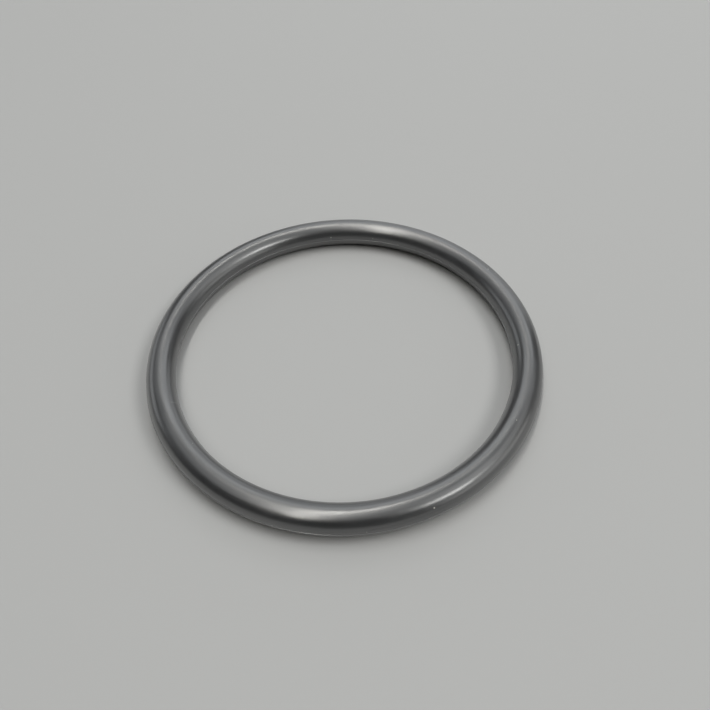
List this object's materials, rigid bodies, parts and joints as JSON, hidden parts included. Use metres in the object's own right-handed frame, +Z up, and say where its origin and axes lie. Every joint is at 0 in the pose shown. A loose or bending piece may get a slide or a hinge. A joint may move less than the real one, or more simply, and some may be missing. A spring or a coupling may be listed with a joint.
{
  "type": "rubber o-ring",
  "caption": "Black rubber O-ring: a one-piece moulded ring of round section that seals a joint when it is squeezed in a groove.",
  "frame": {"origin": "centre of the ring, on the ring's axis and half way up its round section", "axes": "+Z up along the ring's axis; the ring lies flat in the XY plane, and X and Y are any two directions across it"},
  "size_m": [0.0736, 0.0736, 0.0054],
  "materials": {
    "rubber": "black moulded rubber, satin, with a trimmed flash line at the inner and outer edge"
  },
  "bodies": {
    "root": {"o_ring": "rubber"}
  },
  "joints": []
}
